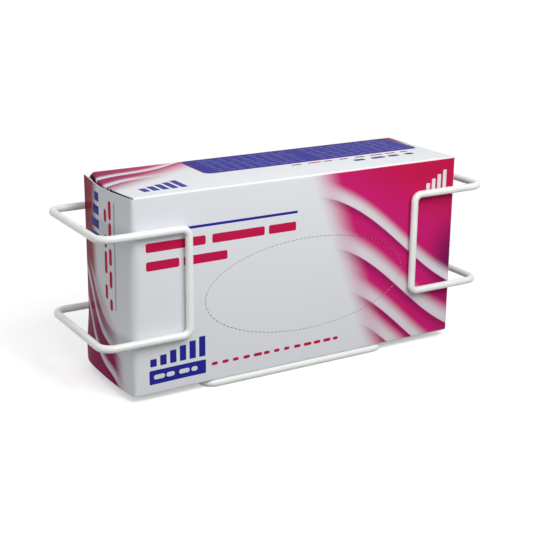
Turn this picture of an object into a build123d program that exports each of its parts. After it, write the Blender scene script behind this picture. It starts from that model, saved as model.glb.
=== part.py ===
from build123d import *
from math import atan2, degrees
import os

# A wall rack of bent, coated wire that holds one carton of disposable gloves.
#
# Two retainer wires wrap round the ends of the carton. A third wire makes the shelf under the
# carton and turns up behind it as two uprights, which end in flattened eyes for the wall screws.
# The wires are welded where they cross. The carton stands on the shelf and isn't fixed.
#
# Frame: the wall is the plane y = 0, the rack stands out of it towards -Y, and +Z is up.
# The origin is on the wall, midway between the two screw eyes. Sizes are millimetres.

# --- Carton ---------------------------------------------------------------------------------
carton_length = 240.0  # along X, over the glued end flaps
carton_depth = 75.0
carton_height = 125.0
card = 0.6  # thickness of the carton board
fold_radius = 1.0  # scored folds along the four long edges
left_wrap_radius = 3.0  # the left end flap leaves the front panel in a soft bend
right_wrap_radius = 2.0  # the right one is creased harder

# Outer end flaps: hinged on the front panel and glued down over the flaps beneath them
flap_back_margin = 1.2  # the free edge stops this short of the back panel
slit_width = 0.9  # between the end flaps and the ends of the top panel
slit_depth = 4.0
slit_front_margin = 3.0
corner_trim = 4.0  # lower back corner of each end, cut off at 45 degrees
corner_trim_depth = 5.0

# Upper back corner of the left end, where the top panel and the two end flaps have drawn apart
parting_run = 27.0  # from the back panel forwards
top_pull = 4.5  # how far in the corner of the top panel has moved
flap_parting = 2.6  # gap between the outer and the inner flap at the back

# Tear-out oval: short cuts with uncut nicks between them
oval_length = 149.2
oval_height = 61.6
oval_shift = 2.5  # to the right of the carton's middle
oval_rise = 53.5  # centre of the oval above the carton's base
cut_length = 1.9
nick_length = 1.15
cut_width = 0.4
cut_depth = 0.4

# --- Wire -----------------------------------------------------------------------------------
wire_diameter = 4.8  # over the coating
weld_setdown = 0.6  # how far two crossing wires sink into each other at a weld

# --- Retainer wires -------------------------------------------------------------------------
end_gap = 19.4  # clear space between the carton's end and the side runs
front_slack = 0.8  # between the carton's front and the front wires
back_slack = 0.6  # between the carton's back and the back legs
dispensing_width = 163.8  # clear width between the two front verticals
lower_run_rise = 35.5  # centre of the lower runs above the carton's base
run_spacing = 67.5  # centre to centre, lower runs to upper runs
side_bend = 8.5  # bend radii are to the centre of the wire
vertical_bend = 4.8

# --- Shelf wire -----------------------------------------------------------------------------
upright_spacing = 135.0  # centre to centre, and so the distance between the screw eyes
shelf_shift = 3.5  # the shelf wire is welded this far to the left of the retainers' middle
shelf_setback = 1.2  # centre of the front run behind the carton's front
shelf_bend = 7.5
upright_bend = 7.0
eye_rise = 12.0  # centre of the screw eyes above the upper runs
eye_radius = 7.0
eye_hole_radius = 2.75  # for a 5 mm wall screw
eye_thickness = 3.0
eye_edge = 0.6  # bevel that the flattening die leaves on the eye's rim
eye_bevel = 0.5  # on the hole's rim, under the screw head
shoulder_length = 4.2  # over which the round wire thins down to the eye

# --- Places worked out from the sizes above -------------------------------------------------
wire_radius = wire_diameter / 2

# Stack from the wall outwards: uprights, back legs, carton, front runs
upright_y = -wire_radius
back_leg_y = upright_y - wire_diameter + weld_setdown
carton_back_y = back_leg_y - wire_radius - back_slack
carton_front_y = carton_back_y - carton_depth
front_run_y = carton_front_y - front_slack - wire_radius
shelf_front_y = carton_front_y + shelf_setback

# Heights, from the screw eyes down
upper_run_z = -eye_rise
lower_run_z = upper_run_z - run_spacing
carton_base_z = lower_run_z - lower_run_rise
carton_top_z = carton_base_z + carton_height
shelf_z = carton_base_z - wire_radius

# Across: the retainers and the carton share one middle
middle_x = shelf_shift
vertical_offset = dispensing_width / 2 + wire_radius
side_offset = carton_length / 2 + end_gap + wire_radius
upright_offset = upright_spacing / 2

os.makedirs("parts", exist_ok=True)


# --- Retainer wires: one bent wire round each end of the carton -----------------------------
retainers = []
for side, name in ((-1, "left_retainer_wire"), (1, "right_retainer_wire")):
    side_x = middle_x + side * side_offset
    vertical_x = middle_x + side * vertical_offset

    # From the butt weld at the middle of the back, round the end, down the front and back again
    corners = [
        (middle_x, back_leg_y, upper_run_z),
        (side_x, back_leg_y, upper_run_z),
        (side_x, front_run_y, upper_run_z),
        (vertical_x, front_run_y, upper_run_z),
        (vertical_x, front_run_y, lower_run_z),
        (side_x, front_run_y, lower_run_z),
        (side_x, back_leg_y, lower_run_z),
        (middle_x, back_leg_y, lower_run_z),
    ]
    bends = [side_bend, side_bend, vertical_bend, vertical_bend, side_bend, side_bend]

    with BuildPart() as retainer_wire:
        with BuildLine():
            FilletPolyline(*corners, radius=bends)
        with BuildSketch(Plane(origin=corners[0], z_dir=(side, 0, 0))):
            Circle(wire_radius)
        sweep()

    retainer_wire.part.label = name
    export_step(retainer_wire.part, f"parts/{name}.step")
    retainers.append(retainer_wire.part)


# --- Screw eye: the wire's end, flattened to a drop shape against the wall ------------------
shoulder_top_z = shoulder_length - (eye_rise - wire_radius)

with BuildPart() as screw_eye:
    with BuildSketch(Plane.XZ):
        Circle(eye_radius)
        with Locations((0, shoulder_top_z - shoulder_length)):
            Circle(wire_radius)
        make_hull()
    extrude(amount=eye_thickness)
    wall_side, room_side = screw_eye.faces().filter_by(Axis.Y).sort_by(Axis.Y)[::-1]
    chamfer(wall_side.edges() + room_side.edges(), eye_edge)
    with Locations(Plane.XZ):
        Hole(eye_hole_radius)
    hole_rims = screw_eye.edges().filter_by(GeomType.CIRCLE).filter_by(lambda edge: edge.is_closed)
    chamfer(hole_rims.sort_by(Axis.Y)[0], eye_bevel)


# --- Shelf wire: eye, upright, shelf loop, upright, eye -------------------------------------
shelf_corners = [
    (-upright_offset, upright_y, shoulder_top_z),
    (-upright_offset, upright_y, shelf_z),
    (-upright_offset, shelf_front_y, shelf_z),
    (upright_offset, shelf_front_y, shelf_z),
    (upright_offset, upright_y, shelf_z),
    (upright_offset, upright_y, shoulder_top_z),
]

with BuildPart() as shelf_wire:
    with BuildLine():
        FilletPolyline(*shelf_corners, radius=[upright_bend, shelf_bend, shelf_bend, upright_bend])
    with BuildSketch(Plane(origin=shelf_corners[0], z_dir=(0, 0, -1))):
        Circle(wire_radius)
    sweep()

    # Sloping shoulder, where the wire thins down to the eye
    with BuildSketch(Plane.YZ):
        with BuildLine():
            Polyline(
                (-wire_diameter, shoulder_top_z - shoulder_length),
                (-eye_thickness, shoulder_top_z),
                (-wire_diameter, shoulder_top_z),
                close=True,
            )
        make_face()
    extrude(amount=upright_spacing, both=True, mode=Mode.SUBTRACT)

    with Locations((-upright_offset, 0, 0), (upright_offset, 0, 0)):
        add(screw_eye.part)

    # Seats that the retainers' back legs sink into when they are welded on
    for retainer in retainers:
        add(retainer, mode=Mode.SUBTRACT)

shelf_wire.part.label = "shelf_wire"
export_step(shelf_wire.part, "parts/shelf_wire.step")


# --- Glove carton: one card blank, folded, filled and glued shut ----------------------------
left_x = middle_x - carton_length / 2
right_x = middle_x + carton_length / 2
flap_edge_y = carton_back_y - flap_back_margin
carton_middle_y = (carton_front_y + carton_back_y) / 2
carton_middle_z = (carton_base_z + carton_top_z) / 2

# Slits in plan: each starts behind the front fold, against the inner of the two end flaps
slit_front_y = carton_front_y + slit_front_margin
slit_length = carton_back_y - slit_front_y
slit_x = left_x + 2 * card
parting_y = carton_back_y - parting_run
back_board_y = carton_back_y - card

# Centres and headings of the cuts, evenly spaced along the oval
oval = Edge.make_ellipse(oval_length / 2, oval_height / 2)
cut_count = round(oval.length / (cut_length + nick_length))
cut_places = []
for number in range(cut_count):
    travelled = oval.length * number / cut_count
    centre = oval.position_at(travelled, PositionMode.LENGTH)
    heading = oval.tangent_at(travelled, PositionMode.LENGTH)
    place = (middle_x + oval_shift + centre.X, carton_base_z + oval_rise + centre.Y)
    cut_places.append(Location(place, degrees(atan2(heading.Y, heading.X))))

with BuildPart() as glove_carton:
    # Long body with its four scored folds
    with BuildSketch(Plane.YZ.offset(left_x)):
        with Locations((carton_middle_y, carton_middle_z)):
            RectangleRounded(carton_depth, carton_height, fold_radius)
    extrude(amount=carton_length)

    # Plan outline: soft bends at the front corners, and a step at the free edge of each flap
    with BuildSketch(Plane.XY.offset(carton_base_z)) as plan:
        with BuildLine():
            Polyline(
                (left_x, carton_front_y),
                (right_x, carton_front_y),
                (right_x, flap_edge_y),
                (right_x - card, flap_edge_y),
                (right_x - card, carton_back_y),
                (left_x + card, carton_back_y),
                (left_x + card, flap_edge_y),
                (left_x, flap_edge_y),
                close=True,
            )
        make_face()
        front_corners = plan.vertices().group_by(Axis.Y)[0].sort_by(Axis.X)
        fillet(front_corners[0], left_wrap_radius)
        front_corners = plan.vertices().group_by(Axis.Y)[0].sort_by(Axis.X)
        fillet(front_corners[-1], right_wrap_radius)
    extrude(amount=carton_height, mode=Mode.INTERSECT)

    # Right end: a straight slit between the inner flap and the end of the top panel
    with BuildSketch(Plane.XY.offset(carton_top_z)):
        with Locations((right_x - 2 * card - slit_width / 2, carton_back_y - slit_length / 2)):
            Rectangle(slit_width, slit_length)
    extrude(amount=-slit_depth, mode=Mode.SUBTRACT)

    # Left end: the same slit, wedged open towards the back, and the gap between the two flaps
    with BuildSketch(Plane.XY.offset(carton_top_z)):
        with BuildLine():
            Polyline(
                (slit_x, slit_front_y),
                (slit_x, parting_y),
                (slit_x + flap_parting, back_board_y),
                (slit_x + slit_width + top_pull, back_board_y),
                (slit_x + slit_width, parting_y),
                (slit_x + slit_width, slit_front_y),
                close=True,
            )
        make_face()
        with BuildLine():
            Polyline(
                (left_x + card, parting_y),
                (left_x + card, carton_back_y),
                (left_x + card + flap_parting, carton_back_y),
                close=True,
            )
        make_face()
    extrude(amount=-slit_depth, mode=Mode.SUBTRACT)

    # Trimmed lower back corner of each end
    with BuildSketch(Plane.YZ.offset(left_x), Plane.YZ.offset(right_x - corner_trim_depth)):
        with BuildLine():
            Polyline(
                (carton_back_y, carton_base_z),
                (carton_back_y - corner_trim, carton_base_z),
                (carton_back_y, carton_base_z + corner_trim),
                close=True,
            )
        make_face()
    extrude(amount=corner_trim_depth, mode=Mode.SUBTRACT)

    # Perforation of the tear-out oval
    with BuildSketch(Plane.XZ.offset(-carton_front_y)):
        with Locations(*cut_places):
            Rectangle(cut_length, cut_width)
    extrude(amount=-cut_depth, mode=Mode.SUBTRACT)

glove_carton.part.label = "glove_carton"
export_step(glove_carton.part, "parts/glove_carton.step")
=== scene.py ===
# %% [markdown]
# # A wall rack with its carton of disposable gloves
#
# The rack is three bent wires, welded together and coated white. Its true shape comes from the
# CAD model, so here it only gets its finish. The carton is one card blank, folded, filled and
# glued. Its look comes from card: rounded folds, raw edges, a row of small cuts round the
# tear-out oval, and panels that aren't quite flat. So the carton is modelled again as a folded
# sheet, inside the space that its CAD solid holds.

# %% Load the frame
from math import cos, exp, pi, radians, sin

import bmesh
import bpy
from mathutils import Euler, Matrix, Vector
from mathutils.noise import noise


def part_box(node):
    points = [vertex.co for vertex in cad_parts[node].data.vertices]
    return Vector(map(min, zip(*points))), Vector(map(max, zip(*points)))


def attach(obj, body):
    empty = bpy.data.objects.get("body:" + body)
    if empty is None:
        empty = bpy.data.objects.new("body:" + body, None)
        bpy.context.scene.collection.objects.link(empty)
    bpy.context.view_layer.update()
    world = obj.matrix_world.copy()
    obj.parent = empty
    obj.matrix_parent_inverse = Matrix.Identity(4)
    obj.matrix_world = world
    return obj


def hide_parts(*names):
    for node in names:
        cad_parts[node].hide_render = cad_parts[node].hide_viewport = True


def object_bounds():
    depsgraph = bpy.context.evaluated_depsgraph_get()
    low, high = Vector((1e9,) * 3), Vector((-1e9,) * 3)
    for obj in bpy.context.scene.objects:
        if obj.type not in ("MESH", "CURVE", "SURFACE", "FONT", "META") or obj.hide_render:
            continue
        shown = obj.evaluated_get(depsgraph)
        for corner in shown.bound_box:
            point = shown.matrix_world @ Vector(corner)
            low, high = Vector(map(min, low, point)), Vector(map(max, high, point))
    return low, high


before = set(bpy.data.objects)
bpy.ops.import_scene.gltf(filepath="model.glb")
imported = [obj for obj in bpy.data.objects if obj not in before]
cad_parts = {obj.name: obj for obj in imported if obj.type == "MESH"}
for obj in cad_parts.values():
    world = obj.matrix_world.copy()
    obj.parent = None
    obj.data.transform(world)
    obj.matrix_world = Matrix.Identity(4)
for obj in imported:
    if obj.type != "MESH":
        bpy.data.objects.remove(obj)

MM = 0.001
cad_low, cad_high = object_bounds()
print("CAD box, mm:", *(round(side / MM, 1) for side in cad_high - cad_low))

# %% [markdown]
# ## Camera
#
# The camera stands at the left front of the rack and looks a little down on it. Three angles
# are easier to read than a look-at target: azimuth turns it round the part, elevation lifts it,
# and roll leans it by the small amount that a hand-held camera has. There is no lens shift, so
# the same lens also suits the other views.

# %% Camera
camera_place = Vector((-388.9, -699.6, 180.4)) * MM
camera_azimuth = radians(-30.62)
camera_elevation = radians(17.53)
camera_roll = radians(0.42)

camera_data = bpy.data.cameras.new("camera")
camera_data.sensor_width = 36.0
camera_data.lens = 80.32
camera_data.clip_start = 0.05
camera_data.clip_end = 50.0
camera = bpy.data.objects.new("camera", camera_data)
bpy.context.scene.collection.objects.link(camera)
aim = Euler((radians(90) - camera_elevation, 0, camera_azimuth)).to_matrix()
aim = aim @ Matrix.Rotation(camera_roll, 3, "Z")
camera.matrix_world = Matrix.Translation(camera_place) @ aim.to_4x4()
bpy.context.scene.camera = camera
print("camera at", [round(value, 3) for value in camera_place], "lens", camera_data.lens)

# %% [markdown]
# ## Small helpers for node trees
#
# A shader is a graph of nodes, and one line a node keeps it readable. `put` adds a node, sets
# its options, and joins or fills its sockets by name or number. `maths` does one sum, `lay` puts
# one colour over another, and `use_group` places an effect that several finishes share.


# %% Node helpers
def fill(tree, made, sockets):
    """Joins or sets the sockets of a node. A value may be another node's output or plain."""
    for name, value in sockets.items():
        if isinstance(value, bpy.types.NodeSocket):
            tree.links.new(value, made.inputs[name])
        else:
            made.inputs[name].default_value = value
    return made


def put(tree, kind, sockets=None, **options):
    """Adds a shader node, with its options set and its sockets filled."""
    made = tree.nodes.new("ShaderNode" + kind)
    for name, value in options.items():
        setattr(made, name, value)
    return fill(tree, made, sockets or {})


def maths(tree, operation, first, second=0.0, third=0.0):
    """One Math node, as its output socket."""
    sockets = {0: first, 1: second}
    if operation == "MULTIPLY_ADD":
        sockets[2] = third
    return put(tree, "Math", sockets, operation=operation).outputs[0]


def smooth_step(tree, value, start, end, low=0.0, high=1.0):
    """Goes smoothly from low to high while value goes from start to end."""
    sockets = {0: value, 1: start, 2: end, 3: low, 4: high}
    return put(tree, "MapRange", sockets, interpolation_type="SMOOTHSTEP").outputs[0]


def lay(tree, under, over, mask):
    """Lays one colour over another where the mask is 1."""
    return put(tree, "Mix", {0: mask, 6: under, 7: over}, data_type="RGBA").outputs[2]


def new_group(name, inputs, outputs):
    """An empty node group with named float inputs and outputs. Returns it and its two ends."""
    group = bpy.data.node_groups.new(name, "ShaderNodeTree")
    for socket in inputs:
        group.interface.new_socket(name=socket, in_out="INPUT", socket_type="NodeSocketFloat")
    for socket in outputs:
        group.interface.new_socket(name=socket, in_out="OUTPUT", socket_type="NodeSocketFloat")
    return group, group.nodes.new("NodeGroupInput").outputs, group.nodes.new("NodeGroupOutput").inputs


def use_group(tree, group, sockets):
    """Places a node group in a material or in another group."""
    return put(tree, "Group", sockets, node_tree=group)


def new_material(name):
    """A material with its Principled shader, and the shader's tree."""
    material = bpy.data.materials.new(name)
    material.use_nodes = True
    return material, material.node_tree, material.node_tree.nodes["Principled BSDF"]


print("node helpers ready")

# %% [markdown]
# ## Floor and light
#
# The floor is a plain white sheet under the rack, as wide as the view needs. It is darker for
# light that bounces off it than for the camera, so the wires keep a grey underside. Seen
# directly it also glows a little, and more so further out, where the lamps no longer reach, so
# it stays white up to the horizon and still keeps the shadow. The studio is a small soft lamp
# close to the upper front, a larger one further off at the left, and an even glow all round.
# Seen directly or in a reflection, that glow is plain white.

# %% Floor
FLOOR_REACH = 8.0

plane = bmesh.new()
bmesh.ops.create_grid(plane, x_segments=1, y_segments=1, size=FLOOR_REACH)
bmesh.ops.translate(plane, verts=plane.verts, vec=(0, 0, cad_low.z))
floor_mesh = bpy.data.meshes.new("floor")
plane.to_mesh(floor_mesh)
plane.free()
floor_object = bpy.data.objects.new("floor", floor_mesh)
bpy.context.scene.collection.objects.link(floor_object)

floor_paper, tree, shader = new_material("floor_paper")
rays = put(tree, "LightPath")
seen = maths(tree, "MAXIMUM", rays.outputs["Is Camera Ray"], rays.outputs["Is Glossy Ray"])
shade = lay(tree, (0.24, 0.24, 0.24, 1), (0.9, 0.9, 0.9, 1), seen)
tree.links.new(shade, shader.inputs["Base Color"])
place = put(tree, "TexCoord").outputs["Object"]
reach = put(tree, "VectorMath", {0: place}, operation="LENGTH").outputs["Value"]
glow = smooth_step(tree, reach, 0.2, 1.8, 0.42, 0.9)
tree.links.new(maths(tree, "MULTIPLY", seen, glow), shader.inputs["Emission Strength"])
shader.inputs["Emission Color"].default_value = (1, 1, 1, 1)
shader.inputs["Roughness"].default_value = 1.0
shader.inputs["Specular IOR Level"].default_value = 0.0
floor_mesh.materials.append(floor_paper)
print("floor at z =", round(cad_low.z, 4))

# %% World and lamps
AMBIENT = 0.5  # strength of the glow all round

world = bpy.data.worlds.new("studio")
world.use_nodes = True
bpy.context.scene.world = world
tree = world.node_tree
rays = put(tree, "LightPath")
seen = maths(tree, "MAXIMUM", rays.outputs["Is Camera Ray"], rays.outputs["Is Glossy Ray"])
seen = maths(tree, "MAXIMUM", seen, rays.outputs["Is Transmission Ray"])
strength = put(tree, "MapRange", {0: seen, 3: AMBIENT, 4: 1.0}).outputs[0]
tree.links.new(strength, tree.nodes["Background"].inputs["Strength"])
tree.nodes["Background"].inputs["Color"].default_value = (1, 1, 1, 1)


def add_lamp(name, place, size, power):
    """A square soft lamp that faces the middle of the rack."""
    lamp_data = bpy.data.lights.new(name, "AREA")
    lamp_data.size = size
    lamp_data.energy = power
    lamp = bpy.data.objects.new(name, lamp_data)
    bpy.context.scene.collection.objects.link(lamp)
    middle = (cad_low + cad_high) / 2
    lamp.location = Vector(place)
    lamp.rotation_euler = (middle - lamp.location).to_track_quat("-Z", "Y").to_euler()


add_lamp("key_lamp", (0.03, -0.46, 0.39), 0.35, 2.5)
add_lamp("side_lamp", (-1.7, -0.5, 0.3), 1.2, 4.6)
bpy.context.scene.view_settings.view_transform = "Standard"
print("two lamps and an even glow of", AMBIENT)

# %% [markdown]
# ## White coating of the wires
#
# The wires are dipped or sprayed with white plastic powder and baked, which leaves a thick
# skin with a soft gloss. It isn't flat: a fine orange-peel ripple breaks up the highlights, and
# the skin is a little yellower and duller where it pooled. Both come from noise on Object
# coordinates, in real millimetres, so the pattern has the same size on all three wires. The
# `ripple` group is shared with the card.


# %% A ripple that two finishes share
def make_ripple():
    """Two sizes of noise on Object coordinates, as one height and one slow drift, both 0 to 1."""
    group, ends_in, ends_out = new_group("ripple", ("Fine", "Coarse"), ("Height", "Drift"))
    place = put(group, "TexCoord").outputs["Object"]
    fine = put(group, "TexNoise", {"Vector": place, "Scale": ends_in["Fine"], "Detail": 3.0})
    coarse = put(group, "TexNoise", {"Vector": place, "Scale": ends_in["Coarse"], "Detail": 2.0})
    height = maths(group, "MULTIPLY_ADD", coarse.outputs[0], 0.6, fine.outputs[0])
    group.links.new(maths(group, "DIVIDE", height, 1.6), ends_out["Height"])
    group.links.new(smooth_step(group, coarse.outputs[0], 0.35, 0.65), ends_out["Drift"])
    return group


ripple = make_ripple()


def make_wire_coating():
    """Baked white powder coating."""
    material, tree, shader = new_material("white_powder_coating")
    peel = use_group(tree, ripple, {"Fine": 900.0, "Coarse": 70.0})
    white = lay(tree, (0.80, 0.825, 0.80, 1), (0.86, 0.885, 0.865, 1), peel.outputs["Drift"])
    tree.links.new(white, shader.inputs["Base Color"])
    dullness = smooth_step(tree, peel.outputs["Drift"], 0.0, 1.0, 0.34, 0.24)
    tree.links.new(dullness, shader.inputs["Roughness"])
    bump = put(tree, "Bump", {"Height": peel.outputs["Height"], "Distance": 0.00006})
    bump.inputs["Strength"].default_value = 0.5
    tree.links.new(bump.outputs[0], shader.inputs["Normal"])
    shader.inputs["Coat Weight"].default_value = 0.25
    shader.inputs["Coat Roughness"].default_value = 0.12
    return material


wire_coating = make_wire_coating()
for wire in ("left_retainer_wire", "right_retainer_wire", "shelf_wire"):
    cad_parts[wire].data.materials[0] = wire_coating
    print("coated", wire)

# %% [markdown]
# ## The carton blank
#
# The real carton is one flat piece of card, cut and creased by a die, printed, and folded. The
# mesh is made the same way round: first the flat blank, in millimetres, with `s` along the
# carton and `t` round it (front panel from 0 to its height, top panel above that, then the back,
# and the bottom panel below zero). A flat blank is a few rows of faces pulled out of each other,
# and the flat place of each vertex is kept, because the print was made on the flat card too.
#
# The middle of the front panel is an ellipse: rings of vertices spaced evenly along it, so that
# every second gap is a cut and the rest are the nicks that hold the panel in. Further out the
# rings turn into rectangles, which meet the folds squarely.

# %% Sizes of the carton, in millimetres
carton_low, carton_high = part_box("glove_carton")
LENGTH, DEPTH, HEIGHT = (side / MM for side in carton_high - carton_low)
CARD = 0.6
FOLD = 1.0  # outer radius of the four long folds
TUCK = 1.0  # outer radius where the narrow flaps turn in
RELIEF = 32.0  # and their distance from the front panel, which leaves a long slit
CORNER = 1.5  # the folds stop this short of each corner of the front panel
FLAP_BACK = DEPTH - 1.2  # reach of the outer end flaps
INNER_GAP = 0.05  # air between one layer of card and the next
INNER_FLAP = CARD + INNER_GAP  # depth of the inner end flaps below the outer ones
DUST_FLAP = 2 * INNER_FLAP + INNER_GAP  # and of the flaps of the top and bottom panels
TRIM = 4.0  # lower back corners, cut off at 45 degrees
TRIM_DEPTH = 5.0  # half the stretch over which the panels under that cut are pressed in
PARTING_RUN = 27.0  # stretch over which the flaps have parted, before the back panel
TOP_PULL = 4.5  # the end of the top panel runs in by this much more at its back left corner
FLAP_PARTING = 2.6  # and the inner flap there stands this much further in than at the right end
INNER_TOP = 3.0  # the inner flap starts this far below the top panel

OVAL_CENTRE = Vector((LENGTH / 2 + 2.5, 53.5))
OVAL_REACH = Vector((149.2 / 2, 61.6 / 2))
CUT, NICK, SLOT = 1.9, 1.15, 0.38  # lengths of a cut and a nick, and width of a cut
FINE_STEPS = 4000
NEAR = 0.01  # two places on the blank this close are the same

print("carton, mm:", round(LENGTH, 1), round(DEPTH, 1), round(HEIGHT, 1))


# %% Stations along the oval
def oval_at(turn):
    """Point and outward normal of the ellipse at an angle."""
    across, up = cos(turn), sin(turn)
    normal = Vector((across / OVAL_REACH.x, up / OVAL_REACH.y)).normalized()
    return OVAL_CENTRE + Vector((OVAL_REACH.x * across, OVAL_REACH.y * up)), normal


walk = [oval_at(2 * pi * step / FINE_STEPS)[0] for step in range(FINE_STEPS + 1)]
travelled = [0.0]
for before, after in zip(walk, walk[1:]):
    travelled.append(travelled[-1] + (after - before).length)
cut_count = round(travelled[-1] / (CUT + NICK))
pitch = travelled[-1] / cut_count


def turn_after(distance):
    """Angle of the ellipse point that lies this far along it."""
    distance %= travelled[-1]
    low, high = 0, FINE_STEPS
    while high - low > 1:
        middle = (low + high) // 2
        low, high = (middle, high) if travelled[middle] <= distance else (low, middle)
    share = (distance - travelled[low]) / (travelled[high] - travelled[low])
    return 2 * pi * (low + share) / FINE_STEPS


starts = [pitch * (number // 2) + (number % 2) * CUT - CUT / 2 for number in range(2 * cut_count)]
stations = [oval_at(turn_after(start)) for start in starts]
print(cut_count, "cuts, every", round(pitch, 2), "mm")


# %% From the oval to the edge of the front panel
def frame_corners(inset):
    """Corners of a rectangle inside the front panel's folds, counter-clockwise from the lower right."""
    left, right = CORNER + inset, LENGTH - CORNER - inset
    bottom, top = FOLD + inset, HEIGHT - FOLD - inset
    return [Vector(corner) for corner in ((right, bottom), (right, top), (left, top), (left, bottom))]


def ray_to_frame(point):
    """Side number and share along it where the ray from the oval's centre leaves the rectangle."""
    corners = frame_corners(0.0)
    heading = point - OVAL_CENTRE
    for side in range(4):
        first, second = corners[side], corners[(side + 1) % 4]
        run = second - first
        cross = heading.x * run.y - heading.y * run.x
        if cross <= 0:
            continue
        gap = first - OVAL_CENTRE
        share = -(heading.x * gap.y - heading.y * gap.x) / cross
        if 0 <= share < 1:
            return side, share
    raise ValueError("the ray misses the rectangle")


sides = [ray_to_frame(point) for point, normal in stations]
for number, (side, share) in enumerate(sides):
    if sides[number - 1][0] != side:
        sides[number] = (side, 0.0)


def frame_place(number, inset):
    """Place of a station on a rectangle that lies inset from the folds."""
    side, share = sides[number]
    corners = frame_corners(inset)
    return corners[side].lerp(corners[(side + 1) % 4], share)


print("corner stations:", [number for number, (side, share) in enumerate(sides) if share == 0.0])


# %% Pulling rows of faces out of an edge
def pull_rows(blank, edges, places):
    """Extrudes edges row by row. Each function in places says where a vertex of its row goes."""
    for place in places:
        made = bmesh.ops.extrude_edge_only(blank, edges=edges)["geom"]
        edges = [item for item in made if isinstance(item, bmesh.types.BMEdge)]
        for item in made:
            if isinstance(item, bmesh.types.BMVert):
                item.co = place(item)
    return edges


def rim_edges(blank, test):
    """Edges with one face whose two ends pass a test."""
    return [edge for edge in blank.edges if edge.is_boundary and all(test(end) for end in edge.verts)]


# %% Front panel
blank = bmesh.new()
station = blank.verts.layers.int.new("station")
column = blank.verts.layers.float.new("column")
circle = bmesh.ops.create_circle(blank, cap_ends=False, segments=2 * cut_count, radius=1.0)["verts"]
for number, vert in enumerate(circle):
    vert[station] = number
    point, normal = stations[number]
    vert.co = (point - normal * SLOT / 2).to_3d()
circle_edges = list(blank.edges)


def oval_ring(reach):
    """Places a row of vertices beside the oval."""
    return lambda vert: (stations[vert[station]][0] + stations[vert[station]][1] * reach).to_3d()


def blend_ring(share, inset):
    """Places a row of vertices between the oval and a rectangle."""
    def place(vert):
        point, normal = stations[vert[station]]
        return point.lerp(frame_place(vert[station], inset), share).to_3d()
    return place


def centre_ring(share):
    """Places a row of vertices between the oval and its centre."""
    return lambda vert: stations[vert[station]][0].lerp(OVAL_CENTRE, share).to_3d()


band_edges = pull_rows(blank, circle_edges, [oval_ring(SLOT / 2)])
cuts = [
    face for face in blank.faces
    if min(v[station] for v in face.verts) % 2 == 0
    and max(v[station] for v in face.verts) - min(v[station] for v in face.verts) == 1
]
insets = (10.0, 6.5, 4.5, 3.0, 2.0, 1.0, 0.0)
rings = [blend_ring(share, insets[0]) for share in (0.1, 0.35, 0.65)]
rings += [blend_ring(1.0, inset) for inset in insets]
pull_rows(blank, band_edges, rings)
middle_edges = pull_rows(blank, circle_edges, [centre_ring(share) for share in (0.08, 0.3, 0.55, 0.8, 0.95)])
middle_verts = list({end for edge in middle_edges for end in edge.verts})
bmesh.ops.pointmerge(blank, verts=middle_verts, merge_co=OVAL_CENTRE.to_3d())
bmesh.ops.delete(blank, geom=cuts, context="FACES_ONLY")
print("front panel:", len(blank.faces), "faces, with", len(cuts), "slots")

# %% [markdown]
# ## Top, back and bottom panels
#
# The top panel is pulled out of the upper edge of the front panel, the back panel out of the
# top, and the bottom panel out of the lower edge. Five rows make each rounded fold. The ends of
# the top and bottom panels stop short of the end flaps, which leaves the slit that one sees
# along a glued carton's end. At the upper back corner of the left end the top panel was folded
# out of square, so that its end runs inwards there.


# %% Where the ends of the panels lie
def ease(value):
    """Smooth step from 0 to 1."""
    value = min(max(value, 0.0), 1.0)
    return value * value * (3 - 2 * value)


def dust_fold(t, left):
    """Outer face of the flap that turns in at the end of the top or bottom panel."""
    back = t - HEIGHT if t > 0 else -t
    place = DUST_FLAP
    if left and t > 0:
        place += TOP_PULL * ease((back - DEPTH + PARTING_RUN) / PARTING_RUN)
    return place


def panel_end(t, left):
    """Distance of a panel's end from the end of the carton."""
    back = t - HEIGHT if t > 0 else -t
    if back < DEPTH - FOLD:
        return CORNER + (dust_fold(t, left) + TUCK - CORNER) * ease((back - RELIEF + 4.0) / 4.0)
    corner_end = dust_fold(HEIGHT + DEPTH - FOLD, left) + TUCK
    back_end = INNER_FLAP + TUCK + (FLAP_PARTING if left else 0.0)
    return corner_end + (back_end - corner_end) * ease((back - DEPTH) / INNER_TOP)


SQUEEZE = 45.0  # columns this near to an end share out how far the end is drawn in


def row_at(t):
    """Places a row of vertices across the carton at t, squeezed in a little at its two ends."""
    def place(vert):
        from_left, from_right = vert[column], LENGTH - vert[column]
        s = vert[column]
        if from_left < SQUEEZE:
            s += (panel_end(t, True) - CORNER) * (1 - (from_left - CORNER) / (SQUEEZE - CORNER))
        if from_right < SQUEEZE:
            s -= (panel_end(t, False) - CORNER) * (1 - (from_right - CORNER) / (SQUEEZE - CORNER))
        return Vector((s, t, 0))
    return place


def fold_rows(t, direction):
    """Five rows that share out a rounded fold, whose middle lies at t."""
    return [row_at(t + direction * FOLD * (0.4 * step - 1)) for step in range(1, 6)]


for vert in blank.verts:
    vert[column] = vert.co.x

# %% Pull out the panels
relief_rows = (3.0, 5.0, 9.0, 16.0, RELIEF - 4.0, RELIEF - 2.0, RELIEF)
top_rows = relief_rows + (38.0, 44.0, 48.0, 52.0, 56.0, 60.0, 64.0, 67.5, 70.5, 72.5)
bottom_rows = relief_rows + (44.0, 54.0, 62.0, 66.0, 69.0, DEPTH - TRIM, 73.0, DEPTH - CARD - INNER_GAP)
back_rows = (2.0, INNER_TOP, 6.0, 12.0, 20.0, 32.0, 46.0, 62.0, 78.0, 94.0, 108.0, 114.0, 118.0)
back_rows += (HEIGHT - TRIM, 123.0, HEIGHT)

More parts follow.
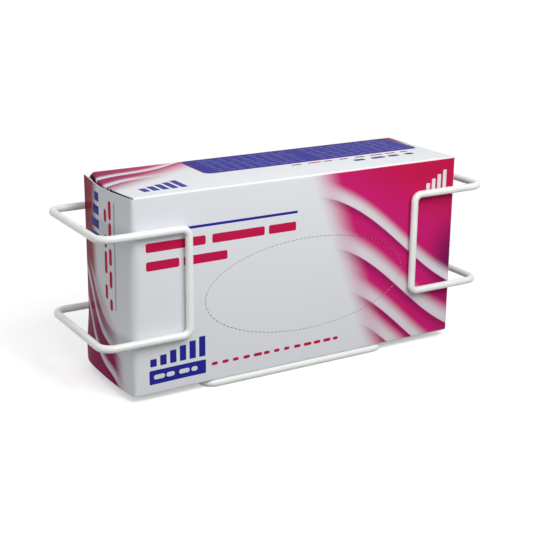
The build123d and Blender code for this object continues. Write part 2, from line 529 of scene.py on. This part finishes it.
places = fold_rows(HEIGHT, 1)
places += [row_at(HEIGHT + back) for back in top_rows]
places += [row_at(HEIGHT + DEPTH - FOLD)] + fold_rows(HEIGHT + DEPTH, 1)
places += [row_at(HEIGHT + DEPTH + down) for down in back_rows]
upper_edge = rim_edges(blank, lambda end: abs(end.co.y - HEIGHT + FOLD) < NEAR)
pull_rows(blank, upper_edge, places)

lower_edge = rim_edges(blank, lambda end: abs(end.co.y - FOLD) < NEAR)
pull_rows(blank, lower_edge, fold_rows(0.0, -1) + [row_at(-back) for back in bottom_rows])
print("girth:", len(blank.faces), "faces")


# %% [markdown]
# ## End flaps
#
# Each end is closed by layers. The narrow flaps of the top and bottom panels turn in first, then
# the inner flap of the back panel, and last the outer flap of the front panel, which is glued
# down over them. Only the outer flap shows in full, but the raw edges of the others show in the
# slit. They are all pulled out sideways, one end after the other, and the lower back corners
# of the outer flaps are cut off at 45 degrees. The panels' corners under them are pressed in
# to match when the blank is folded.


# %% Pull out the flaps
RIM_REACH = 20.0  # the panels' ends lie this near to the carton's, and the oval lies further in


def side_rows(left, root, runs):
    """Places rows of an end flap at distances from its fold. Past the fold they are negative."""
    def place_at(run):
        def place(vert):
            from_end = root(vert.co.y) + run
            return Vector((from_end if left else LENGTH - from_end, vert.co.y, 0))
        return place
    return [place_at(run) for run in runs]


def bend_runs(radius):
    """Distances that share out a rounded fold in four."""
    return [radius * (1 - 0.5 * step) for step in range(1, 5)]


def pull_flap(left, low, high, root, radius, runs):
    """Pulls a flap out of the panel edge that lies between low and high on this end."""
    def on_edge(end):
        near = end.co.x < RIM_REACH if left else end.co.x > LENGTH - RIM_REACH
        return near and low - NEAR <= end.co.y <= high + NEAR
    edges = rim_edges(blank, on_edge)
    pull_rows(blank, edges, side_rows(left, root, bend_runs(radius) + [-run for run in runs]))


outer_runs = (3.0, 4.5, 6.5, 9.0, 13.0, 18.0, 25.0, 33.0, 41.0, 48.0, 54.0, 59.0, 63.0, 66.5, 69.5, 72.0)
inner_runs = (4.0, 10.0, 18.0, 27.0, 40.0, 68.0)
narrow_runs = (3.0, 8.0)  # only the fold of a narrow flap can be seen, so it is short
back_top = HEIGHT + DEPTH
for left in (True, False):
    pull_flap(left, FOLD, HEIGHT - FOLD, lambda t: 0.0, CORNER, outer_runs + (FLAP_BACK,))
    pull_flap(left, HEIGHT + RELIEF, back_top - 2.5, lambda t: dust_fold(t, left), TUCK, narrow_runs)
    pull_flap(left, -DEPTH + 4.0, -RELIEF, lambda t: dust_fold(t, left), TUCK, narrow_runs)
    inner_root = INNER_FLAP + (FLAP_PARTING if left else 0.0)
    pull_flap(left, back_top + INNER_TOP, back_top + HEIGHT - TRIM, lambda t: inner_root, TUCK, inner_runs)
print("with flaps:", len(blank.faces), "faces")


# %% Trim the lower back corners of the outer flaps
def trim_corner(left):
    """Cuts the outer flap's corner at 45 degrees."""
    outward = -1 if left else 1
    end = 0.0 if left else LENGTH
    flap = [face for face in blank.faces if (face.calc_center_median().x - end) * outward > CORNER]
    flap = [face for face in flap if 0 < face.calc_center_median().y < HEIGHT]
    geom = flap + list({edge for face in flap for edge in face.edges})
    geom += list({vert for face in flap for vert in face.verts})
    slant = Vector((outward, -1, 0)).normalized()
    corner = Vector((end + outward * (DEPTH - TRIM), 0, 0))
    bmesh.ops.bisect_plane(
        blank, geom=geom, dist=0.0001, plane_co=corner, plane_no=slant, clear_outer=True
    )


trim_corner(True)
trim_corner(False)
if sum(face.normal.z for face in blank.faces) < 0:
    bmesh.ops.reverse_faces(blank, faces=blank.faces)
print("after trimming:", len(blank.faces), "faces")

# %% [markdown]
# ## Folding
#
# Folding is one rule for every vertex. `girth_at` wraps t round the four long folds and gives a
# point and the direction out of the card there. `end_at` turns s round the fold of an end flap.
# The left flap leaves the front panel in a bend that is tight at its two corners, where the card
# is held, and soft in the middle, where only the gloves push on it. Last come the small
# departures from a perfect box: a front that swells a little, and a left end that bows out by
# 2 to 3 mm under its sagging upper edge.


# %% Fold the blank
def bend(run, radius):
    """Turns a straight run past a fold into its distance from the end and into the carton."""
    if run > radius:
        return run, 0.0
    if run < -radius:
        return 0.0, -run
    turn = (radius - run) / (2 * radius) * pi / 2
    return radius * (1 - sin(turn)), radius * (1 - cos(turn))


def girth_at(t):
    """Place in depth and height of a point on the girth, and the direction out of the card."""
    if t < -FOLD:
        return Vector((-t, 0)), Vector((0, -1))
    if t > HEIGHT + DEPTH + FOLD:
        return Vector((DEPTH, 2 * HEIGHT + DEPTH - t)), Vector((1, 0))
    for crease, hub, first in (
        (0.0, (FOLD, FOLD), -pi / 2),
        (HEIGHT, (FOLD, HEIGHT - FOLD), -pi),
        (HEIGHT + DEPTH, (DEPTH - FOLD, HEIGHT - FOLD), pi / 2),
    ):
        if abs(t - crease) <= FOLD:
            turn = first - (t - crease + FOLD) / (2 * FOLD) * pi / 2
            out = Vector((cos(turn), sin(turn)))
            return Vector(hub) + FOLD * out, out
    if t < HEIGHT:
        return Vector((0, t)), Vector((-1, 0))
    return Vector((t - HEIGHT, HEIGHT)), Vector((0, 1))


def fold_line(t, left):
    """Distance of an end's fold from the end of the carton, and the fold's radius."""
    if FOLD - NEAR <= t <= HEIGHT - FOLD + NEAR:
        soft = 1.5 + 4.5 * max(sin(pi * t / HEIGHT), 0.0) ** 1.1
        return 0.0, (soft if left else 2.0)
    if t < HEIGHT + DEPTH:
        return dust_fold(t, left), TUCK
    return INNER_FLAP + (FLAP_PARTING if left else 0.0), TUCK


def settle(place, bow):
    """Lets the filled carton swell, sag and bow out a little."""
    x, y, z = place
    along, back, up = x / LENGTH, y / DEPTH, z / HEIGHT
    inside = max(sin(pi * min(max(along, 0), 1)), 0) * max(sin(pi * min(max(up, 0), 1)), 0)
    arch = max(sin(pi * min(max(back, 0), 1)), 0)
    at_front = exp(-y / 12.0)
    near_left = exp(-max(x, 0) / 16.0)
    near_right = exp(-max(LENGTH - x, 0) / 16.0)
    wave = noise(Vector((x, y, z)) / 38.0)
    y -= (0.35 * inside ** 0.6 + 0.05 * wave) * at_front
    z -= arch * (0.25 * max(sin(pi * along), 0) + 0.9 * near_left + 0.3 * near_right) * up ** 6
    x -= bow * arch ** (0.6 + 0.6 * up) * (3.4 - 1.2 * up) * near_left
    x += ease((y - 40.0) / 33.0) * (1.8 * ease((z - 8.0) / 30.0) - 0.8) * near_left
    z -= 0.9 * max(1 - up, 0) ** 2 * ease((45.0 - x) / 60.0) * at_front ** 0.4
    x += arch * 0.7 * near_right
    return Vector((x, y, z))


def press_corner(place):
    """Presses the lower back corner of each end in, to where the outer flap is trimmed."""
    from_end = min(place.x, LENGTH - place.x)
    proud = TRIM * (1 - ease(from_end / (2 * TRIM_DEPTH))) - (DEPTH - place.y) - place.z
    if proud > 0:
        place = place + Vector((0, -proud / 2, proud / 2))
    return place


def lean_in(place):
    """Draws the left end flaps' inner layer back to the carton's end below the parted corner."""
    return FLAP_PARTING * (1 - ease((place.z - HEIGHT + 45.0) / 45.0))


flat_place = blank.verts.layers.float_vector.new("blank")
for vert in blank.verts:
    s, t = vert.co.x, vert.co.y
    vert[flat_place] = vert.co
    left = s < LENGTH / 2
    root, radius = fold_line(t, left)
    from_end, inward = bend((s if left else LENGTH - s) - root, radius)
    point, out = girth_at(t)
    point = point - out * inward
    from_end += root
    folded = Vector((from_end if left else LENGTH - from_end, point.x, point.y))
    if left and t > HEIGHT + DEPTH - FOLD and folded.x < SQUEEZE:
        apart = 1 - ease((DEPTH - folded.y) / PARTING_RUN)
        keep = 1 - (folded.x - INNER_FLAP) / (SQUEEZE - INNER_FLAP)
        folded.x -= keep * (FLAP_PARTING * (1 - apart) + lean_in(folded) * apart)
    if FOLD - NEAR <= t <= HEIGHT - FOLD + NEAR:
        past = ease(2 * inward / radius)
        folded.z -= FOLD * past * max(1 - (t - FOLD) / 6, 0)
        folded.z += 0.3 * past * max(1 - (HEIGHT - FOLD - t) / 6, 0)
        bow = 1.0
    else:
        bow = 1 - 0.3 * max(folded.z / HEIGHT, 0) ** 6
    vert.co = settle(press_corner(folded), bow)

to_frame = Matrix.Translation(carton_low) @ Matrix.Scale(MM, 4)
bmesh.ops.transform(blank, matrix=to_frame, verts=blank.verts)
blank.normal_update()
print("folded:", len(blank.verts), "vertices")

# %% [markdown]
# ## Thickness
#
# A Solidify modifier gives the sheet the card's 0.6 mm, inwards, so that the printed face stays
# where the carton's outer size says. It also sorts the faces into three finishes: print
# outside, bare grey card inside, and the raw cut edge round every slot and flap. The modifier
# is applied, so that edges sharper than 40 degrees can be marked as creases.

# %% Give the card its thickness
CREASE_ANGLE = 40.0

carton_mesh = bpy.data.meshes.new("carton")
blank.to_mesh(carton_mesh)
blank.free()
carton = bpy.data.objects.new("carton", carton_mesh)
bpy.context.scene.collection.objects.link(carton)
for name in ("carton_print", "carton_inside", "carton_raw_edge"):
    carton_mesh.materials.append(new_material(name)[0])
board = carton.modifiers.new("board", "SOLIDIFY")
board.thickness = CARD * MM
board.offset = -1.0
board.use_even_offset = True
board.material_offset = 1
board.material_offset_rim = 2
bpy.context.view_layer.update()
solid_mesh = bpy.data.meshes.new_from_object(carton.evaluated_get(bpy.context.evaluated_depsgraph_get()))
carton.modifiers.clear()
carton.data = solid_mesh
solid_mesh.name = "carton"
solid_mesh.shade_smooth()
solid_mesh.set_sharp_from_angle(angle=radians(CREASE_ANGLE))
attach(carton, "root")
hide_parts("glove_carton")
print("carton:", len(solid_mesh.polygons), "faces")

# %% [markdown]
# ## Print
#
# The carton's graphics are plain shapes: rounded bars, rows of short bars, and soft ribbons on a
# field that fades out to the left. Each shape is a mask worked out from the flat place on the
# blank, in millimetres, so it keeps its size and runs on round the folds as ink does. A bar is a
# distance: how far a point lies outside a rectangle, less the corner radius. A ribbon is a wavy
# band with one crisp and one soft side, like a fold of thin film.


# %% Shapes of the print
def box_distance(tree, across, up, half_width, half_height, corner):
    """Distance outside a rounded rectangle round the origin."""
    core_width = maths(tree, "SUBTRACT", half_width, corner)
    core_height = maths(tree, "SUBTRACT", half_height, corner)
    gap_x = maths(tree, "SUBTRACT", maths(tree, "ABSOLUTE", across), core_width)
    gap_y = maths(tree, "SUBTRACT", maths(tree, "ABSOLUTE", up), core_height)
    gap_x = maths(tree, "MAXIMUM", gap_x, 0.0)
    gap_y = maths(tree, "MAXIMUM", gap_y, 0.0)
    squares = maths(tree, "MULTIPLY_ADD", gap_x, gap_x, maths(tree, "MULTIPLY", gap_y, gap_y))
    return maths(tree, "SUBTRACT", maths(tree, "SQRT", squares), corner)


def make_bar():
    """One rounded bar."""
    names = ("Across", "Up", "Middle Across", "Middle Up", "Half Width", "Half Height", "Corner", "Soft")
    group, given, wanted = new_group("rounded_bar", names, ("Mask",))
    across = maths(group, "SUBTRACT", given["Across"], given["Middle Across"])
    up = maths(group, "SUBTRACT", given["Up"], given["Middle Up"])
    halves = (given["Half Width"], given["Half Height"])
    distance = box_distance(group, across, up, *halves, given["Corner"])
    inner = maths(group, "MULTIPLY", given["Soft"], -1.0)
    mask = smooth_step(group, distance, inner, given["Soft"], 1.0, 0.0)
    group.links.new(mask, wanted["Mask"])
    return group


def make_bar_row():
    """A row of rounded bars of uneven lengths, like plain dashes."""
    names = ("Along", "Across", "Start", "Bars", "Pitch", "Middle", "Half Height", "Seed")
    group, given, wanted = new_group("bar_row", names, ("Mask",))
    run = maths(group, "DIVIDE", maths(group, "SUBTRACT", given["Along"], given["Start"]), given["Pitch"])
    cell = maths(group, "FLOOR", run)
    local = maths(group, "MULTIPLY", maths(group, "SUBTRACT", run, cell), given["Pitch"])
    draw = put(group, "TexWhiteNoise", None, noise_dimensions="1D")
    group.links.new(maths(group, "ADD", cell, given["Seed"]), draw.inputs["W"])
    share = smooth_step(group, draw.outputs["Value"], 0.0, 1.0, 0.5, 0.88)
    half = maths(group, "MULTIPLY", maths(group, "MULTIPLY", share, given["Pitch"]), 0.5)
    up = maths(group, "SUBTRACT", given["Across"], given["Middle"])
    across = maths(group, "SUBTRACT", local, half)
    thickness = given["Half Height"]
    distance = box_distance(group, across, up, half, thickness, thickness)
    mask = smooth_step(group, distance, -0.12, 0.12, 1.0, 0.0)
    started = maths(group, "GREATER_THAN", run, 0.0)
    ended = maths(group, "LESS_THAN", run, given["Bars"])
    mask = maths(group, "MULTIPLY", mask, maths(group, "MULTIPLY", started, ended))
    group.links.new(mask, wanted["Mask"])
    return group


def make_gauge():
    """A row of upright bars, each taller than the last by the same step."""
    names = ("Along", "Up", "Start", "Bars", "Pitch", "Foot", "First", "Step", "Half Width")
    group, given, wanted = new_group("gauge", names, ("Mask",))
    run = maths(group, "SUBTRACT", given["Along"], given["Start"])
    run = maths(group, "DIVIDE", run, given["Pitch"])
    cell = maths(group, "FLOOR", run)
    middle = maths(group, "SUBTRACT", maths(group, "SUBTRACT", run, cell), 0.5)
    half = maths(group, "MULTIPLY_ADD", cell, given["Step"], given["First"])
    half = maths(group, "MULTIPLY", half, 0.5)
    up = maths(group, "SUBTRACT", given["Up"], maths(group, "ADD", given["Foot"], half))
    across = maths(group, "MULTIPLY", middle, given["Pitch"])
    distance = box_distance(group, across, up, given["Half Width"], half, 0.6)
    mask = smooth_step(group, distance, -0.12, 0.12, 1.0, 0.0)
    started = maths(group, "GREATER_THAN", run, 0.0)
    ended = maths(group, "LESS_THAN", run, given["Bars"])
    mask = maths(group, "MULTIPLY", mask, maths(group, "MULTIPLY", started, ended))
    group.links.new(mask, wanted["Mask"])
    return group


def make_ribbon():
    """A wavy band with a crisp lower side and a soft upper side."""
    names = ("Along", "Across", "Base", "Slope", "Swing", "Wave", "Phase", "Width")
    group, given, wanted = new_group("ribbon", names, ("Mask", "Shadow"))
    turn = maths(group, "MULTIPLY_ADD", given["Along"], given["Wave"], given["Phase"])
    curve = maths(group, "MULTIPLY_ADD", maths(group, "SINE", turn), given["Swing"], given["Base"])
    curve = maths(group, "MULTIPLY_ADD", given["Along"], given["Slope"], curve)
    level = maths(group, "DIVIDE", maths(group, "SUBTRACT", given["Across"], curve), given["Width"])
    crisp = smooth_step(group, level, -0.04, 0.04)
    soft = smooth_step(group, level, 0.25, 1.0, 1.0, 0.0)
    body = maths(group, "MULTIPLY", crisp, soft)
    crisp = smooth_step(group, level, -0.04, 0.0, 1.0, 0.0)
    soft = smooth_step(group, level, -0.6, 0.0)
    below = maths(group, "MULTIPLY", crisp, soft)
    group.links.new(body, wanted["Mask"])
    group.links.new(below, wanted["Shadow"])
    return group


rounded_bar, bar_row, gauge, ribbon = make_bar(), make_bar_row(), make_gauge(), make_ribbon()
print("print shapes:", rounded_bar.name, bar_row.name, gauge.name, ribbon.name)

# %% Inks
WHITE_BOARD = (0.775, 0.795, 0.83, 1)
DULL_BOARD = (0.763, 0.783, 0.816, 1)
BLUE_INK = (0.024, 0.026, 0.30, 1)
PALE_BLUE_INK = (0.10, 0.10, 0.38, 1)
CRIMSON_INK = (0.55, 0.012, 0.075, 1)
MAGENTA_INK = (0.60, 0.016, 0.17, 1)
PURPLE_INK = (0.17, 0.008, 0.085, 1)
DEEP_INK = (0.30, 0.004, 0.09, 1)
DARK_CRIMSON_INK = (0.27, 0.003, 0.028, 1)
TOP_BLUE_INK = (0.006, 0.005, 0.27, 1)
LINE_INK = (0.04, 0.045, 0.12, 1)
FILM_WHITE = (0.76, 0.755, 0.79, 1)


# %% Print of the carton
class Sheet:
    """The printed colour so far, and the shapes that can be laid over it."""

    def __init__(self, tree, colour, s, t):
        self.tree, self.colour, self.s, self.t = tree, colour, s, t

    def ink(self, colour, mask):
        """Inks the sheet where the mask is 1."""
        self.colour = lay(self.tree, self.colour, colour, mask)

    def bar(self, colour, across, up, half_width, half_height, corner=0.0, soft=0.12):
        """Inks one rounded bar."""
        places = {"Across": self.s, "Up": self.t, "Middle Across": across, "Middle Up": up}
        places.update({"Half Width": half_width, "Half Height": half_height})
        places.update({"Corner": corner, "Soft": soft})
        self.ink(colour, use_group(self.tree, rounded_bar, places).outputs["Mask"])

    def row(self, colour, start, bars, pitch, middle, half_height, seed, upright=False):
        """Inks a row of short bars, along s or up along t."""
        along, across = (self.t, self.s) if upright else (self.s, self.t)
        places = {"Along": along, "Across": across, "Start": start, "Bars": float(bars)}
        places.update({"Pitch": pitch, "Middle": middle, "Half Height": half_height})
        places.update({"Seed": float(seed)})
        self.ink(colour, use_group(self.tree, bar_row, places).outputs["Mask"])

    def steps(self, colour, along, up, start, bars, pitch, foot, first, step, half_width):
        """Inks a gauge of rising bars."""
        places = {"Along": along, "Up": up, "Start": start, "Bars": float(bars), "Pitch": pitch}
        places.update({"Foot": foot, "First": first, "Step": step, "Half Width": half_width})
        self.ink(colour, use_group(self.tree, gauge, places).outputs["Mask"])

    def ribbons(self, where, along, across, bands):
        """Inks pale ribbons, each with a shadow under its crisp side."""
        for base, slope, swing, wave, phase, width in bands:
            places = {"Along": along, "Across": across, "Base": base, "Slope": slope}
            places.update({"Swing": swing, "Wave": wave, "Phase": phase, "Width": width})
            band = use_group(self.tree, ribbon, places)
            shadow = maths(self.tree, "MULTIPLY", band.outputs["Shadow"], where)
            self.ink(PURPLE_INK, maths(self.tree, "MULTIPLY", shadow, 0.6))
            body = maths(self.tree, "MULTIPLY", band.outputs["Mask"], where)
            self.ink(FILM_WHITE, maths(self.tree, "MULTIPLY", body, 0.93))


def both(tree, *masks):
    """Where all the masks are 1."""
    result = masks[0]
    for mask in masks[1:]:
        result = maths(tree, "MULTIPLY", result, mask)
    return result


# %% Front panel's print
def print_front(sheet):
    """A field of ribbons at the right, rows of bars and a gauge at the left."""
    tree, s, t = sheet.tree, sheet.s, sheet.t
    above = smooth_step(tree, t, -0.6, -0.3)
    below = smooth_step(tree, t, HEIGHT - 0.2, HEIGHT + 0.2, 1.0, 0.0)
    lean = maths(tree, "MULTIPLY_ADD", t, 0.36, s)
    faded = smooth_step(tree, s, LENGTH + 18, LENGTH + 60, 1.0, 0.0)
    field = both(tree, smooth_step(tree, lean, 167.0, 191.0), faded, above, below)
    upper = smooth_step(tree, maths(tree, "MULTIPLY_ADD", s, 0.5, t), 182.0, 225.0)
    ink = lay(tree, MAGENTA_INK, CRIMSON_INK, upper)
    from_side = maths(tree, "SUBTRACT", s, 246.0)
    from_middle = maths(tree, "MULTIPLY", maths(tree, "SUBTRACT", t, 52.0), 0.8)
    squares = maths(tree, "MULTIPLY", from_middle, from_middle)
    away = maths(tree, "SQRT", maths(tree, "MULTIPLY_ADD", from_side, from_side, squares))
    ink = lay(tree, PURPLE_INK, ink, smooth_step(tree, away, 4.0, 34.0))
    sheet.ink(ink, field)
    sheet.ribbons(field, s, t, (
        (133.0, -0.62, 7.0, 0.045, 0.4, 15.0),
        (152.0, -0.58, 8.0, 0.041, 1.3, 16.0),
        (177.0, -0.55, 9.0, 0.037, 2.1, 12.0),
        (112.0, -0.60, 6.0, 0.052, -0.6, 17.0),
    ))
    sheet.steps(FILM_WHITE, s, t, 215.0, 4, 4.6, 104.5, 4.5, 2.6, 1.5)
    sheet.bar(FILM_WHITE, 224.2, 101.0, 9.0, 0.7, 0.7)
    for middle, half in ((28.5, 20.0), (71.5, 18.5), (103.0, 10.0)):
        sheet.bar(CRIMSON_INK, middle, 93.5, half, 2.9, 1.2)
    for middle, half in ((19.5, 11.0), (48.5, 15.0)):
        sheet.bar(CRIMSON_INK, middle, 82.0, half, 2.9, 1.2)
    sheet.bar(BLUE_INK, 61.0, 102.5, 53.0, 0.85, 0.3)
    sheet.bar(BLUE_INK, 28.5, 11.0, 19.5, 4.6, 0.8)
    sheet.row(FILM_WHITE, 12.0, 4, 8.6, 11.0, 1.5, 15)
    sheet.steps(BLUE_INK, s, t, 8.6, 6, 6.7, 18.0, 5.0, 1.7, 2.2)
    sheet.row(CRIMSON_INK, 52.0, 13, 7.6, 11.5, 1.1, 21)


# %% Top panel's print
def print_top(sheet):
    """A blue panel with pale rows, on a field that shows beside it."""
    tree, s = sheet.tree, sheet.s
    y = maths(tree, "SUBTRACT", sheet.t, HEIGHT)
    before_back = smooth_step(tree, y, DEPTH - 0.2, DEPTH + 0.2, 1.0, 0.0)
    on_top = both(tree, smooth_step(tree, y, 1.0, 2.0), before_back)
    swept = smooth_step(tree, maths(tree, "MULTIPLY_ADD", s, -0.55, y), 14.0, 40.0)
    field = both(tree, swept, smooth_step(tree, y, 20.0, 26.0), on_top)
    near_corner = smooth_step(tree, maths(tree, "MULTIPLY_ADD", y, -0.4, s), -25.0, 40.0)
    sheet.ink(lay(tree, DEEP_INK, MAGENTA_INK, near_corner), field)
    sheet.ribbons(field, s, y, ((34.0, 0.30, 3.0, 0.09, 0.3, 9.0), (50.0, 0.34, 3.0, 0.08, 1.2, 8.0)))
    corner = smooth_step(tree, maths(tree, "MULTIPLY_ADD", s, 0.12, y), 72.0, 96.0)
    corner = both(tree, corner, smooth_step(tree, s, 215.0, 225.0), on_top)
    sheet.ink(DARK_CRIMSON_INK, corner)
    sheet.bar(DARK_CRIMSON_INK, 151.0, HEIGHT + 54.4, 83.5, 19.6, 5.4)
    sheet.bar(TOP_BLUE_INK, 151.0, HEIGHT + 54.2, 82.7, 18.8, 4.6)
    for number in range(7):
        middle = HEIGHT + 39.8 + 4.8 * number
        sheet.row(PALE_BLUE_INK, 78.0, 9, 7.8, middle, 0.85, 31 + number)
        sheet.row(PALE_BLUE_INK, 157.0, 9, 7.8, middle, 0.85, 41 + number)
    sheet.row(DARK_CRIMSON_INK, 128.0, 8, 12.5, HEIGHT + 30.5, 1.1, 49)
    sheet.row(BLUE_INK, 172.0, 4, 14.0, HEIGHT + 23.0, 2.3, 53)
    sheet.steps(BLUE_INK, s, y, 13.0, 5, 6.2, 11.0, 9.0, 2.4, 2.2)


# %% Left end's print
def print_left_end(sheet):
    """The outer end flap, where s runs below zero."""
    tree, t = sheet.tree, sheet.t
    u = maths(tree, "MULTIPLY", sheet.s, -1.0)
    above = smooth_step(tree, t, 0.0, 0.5)
    below = smooth_step(tree, t, HEIGHT - 0.6, HEIGHT - 0.2, 1.0, 0.0)
    on_flap = both(tree, smooth_step(tree, u, 2.0, 3.0), above, below)
    sway = maths(tree, "SINE", maths(tree, "MULTIPLY", t, 0.055))
    drift = maths(tree, "MULTIPLY_ADD", sway, 2.0, u)
    low = smooth_step(tree, maths(tree, "MULTIPLY_ADD", t, -0.9, u), -16.0, 14.0)
    low = both(tree, low, smooth_step(tree, u, 10.0, 26.0))
    field = maths(tree, "MAXIMUM", smooth_step(tree, drift, 45.0, 60.0), low)
    field = both(tree, field, on_flap)
    ink = lay(tree, DEEP_INK, DARK_CRIMSON_INK, smooth_step(tree, t, 40.0, 75.0))
    sheet.ink(ink, field)
    lower = smooth_step(tree, t, 56.0, 74.0, 1.0, 0.0)
    sheet.ribbons(both(tree, field, lower), u, t, (
        (2.0, 0.75, 5.0, 0.10, 0.2, 9.0),
        (22.0, 0.62, 5.0, 0.09, 1.4, 8.0),
        (-16.0, 0.70, 4.0, 0.11, -0.4, 8.0),
    ))
    sheet.steps(BLUE_INK, maths(tree, "MULTIPLY", t, -1.0), u, -121.0, 4, 8.8, 44.0, 8.0, 3.4, 2.9)
    sheet.row(CRIMSON_INK, 54.0, 4, 16.5, -34.0, 1.9, 61, upright=True)
    sheet.row(CRIMSON_INK, 48.0, 5, 14.5, -27.5, 1.9, 71, upright=True)
    sheet.bar(LINE_INK, -21.5, 84.0, 0.7, 34.0)


# %% [markdown]
# ## Card
#
# Printed carton board has a glossy varnish over a white clay coat. At a fold the coat cracks, so
# a pale, broken line shows along each crease, and on the rim of each flap. Along the folds that
# pale line is drawn wider and brighter than the cracks alone, so it is also a painted highlight
# on the rounded folds. A very fine bump stands for the fibres under the varnish. Inside, the board
# is bare grey-brown card, and the cut edge is rough and off-white.


# %% Card finishes
# Pale colour along the folds: partly the cracked clay coat, partly a painted highlight on the rounded folds.
CRACKED_COAT_AND_HIGHLIGHT = (0.88, 0.88, 0.89, 1)


def shader_of(material):
    """The tree and the Principled shader of a material."""
    return material.node_tree, material.node_tree.nodes["Principled BSDF"]


def finish_print(material):
    """Varnished, printed side of the board."""
    tree, shader = shader_of(material)
    flat = put(tree, "Attribute", None, attribute_name="blank")
    place = put(tree, "SeparateXYZ", {0: flat.outputs["Vector"]})
    s, t = place.outputs["X"], place.outputs["Y"]
    grain = use_group(tree, ripple, {"Fine": 2600.0, "Coarse": 26.0})
    height = grain.outputs["Height"]
    sheet = Sheet(tree, lay(tree, WHITE_BOARD, DULL_BOARD, height), s, t)
    print_front(sheet)
    print_top(sheet)
    print_left_end(sheet)
    colour = sheet.colour

    # Cracked coat along the folds, drawn wider and brighter than the cracks alone, so it is also a painted
    # highlight on the folds
    crease = maths(tree, "ABSOLUTE", t)
    for run, fold in ((t, HEIGHT), (t, HEIGHT + DEPTH), (s, LENGTH)):
        away = maths(tree, "ABSOLUTE", maths(tree, "SUBTRACT", run, fold))
        crease = maths(tree, "MINIMUM", crease, away)
    width = maths(tree, "MULTIPLY_ADD", height, 1.2, 0.3)
    worn_and_highlight = smooth_step(tree, maths(tree, "SUBTRACT", crease, width), -0.35, 0.15, 0.85, 0.0)
    colour = lay(tree, colour, CRACKED_COAT_AND_HIGHLIGHT, worn_and_highlight)
    tree.links.new(colour, shader.inputs["Base Color"])
    tree.links.new(maths(tree, "MULTIPLY_ADD", worn_and_highlight, 0.3, 0.24), shader.inputs["Roughness"])
    bump = put(tree, "Bump", {"Height": height, "Distance": 0.00003})
    bump.inputs["Strength"].default_value = 0.25
    tree.links.new(bump.outputs[0], shader.inputs["Normal"])
    shader.inputs["Specular IOR Level"].default_value = 0.01


def finish_bare(material, dark, light, roughness):
    """Unprinted card, inside or on a cut edge."""
    tree, shader = shader_of(material)
    fibres = use_group(tree, ripple, {"Fine": 1500.0, "Coarse": 300.0})
    tree.links.new(lay(tree, dark, light, fibres.outputs["Height"]), shader.inputs["Base Color"])
    shader.inputs["Roughness"].default_value = roughness
    shader.inputs["Specular IOR Level"].default_value = 0.2
    bump = put(tree, "Bump", {"Height": fibres.outputs["Height"], "Distance": 0.0001})
    tree.links.new(bump.outputs[0], shader.inputs["Normal"])


print_side, bare_side, raw_edge = solid_mesh.materials
finish_print(print_side)
finish_bare(bare_side, (0.10, 0.095, 0.085, 1), (0.20, 0.19, 0.17, 1), 0.9)
finish_bare(raw_edge, (0.50, 0.50, 0.48, 1), (0.70, 0.70, 0.68, 1), 0.85)
print("card finishes ready")
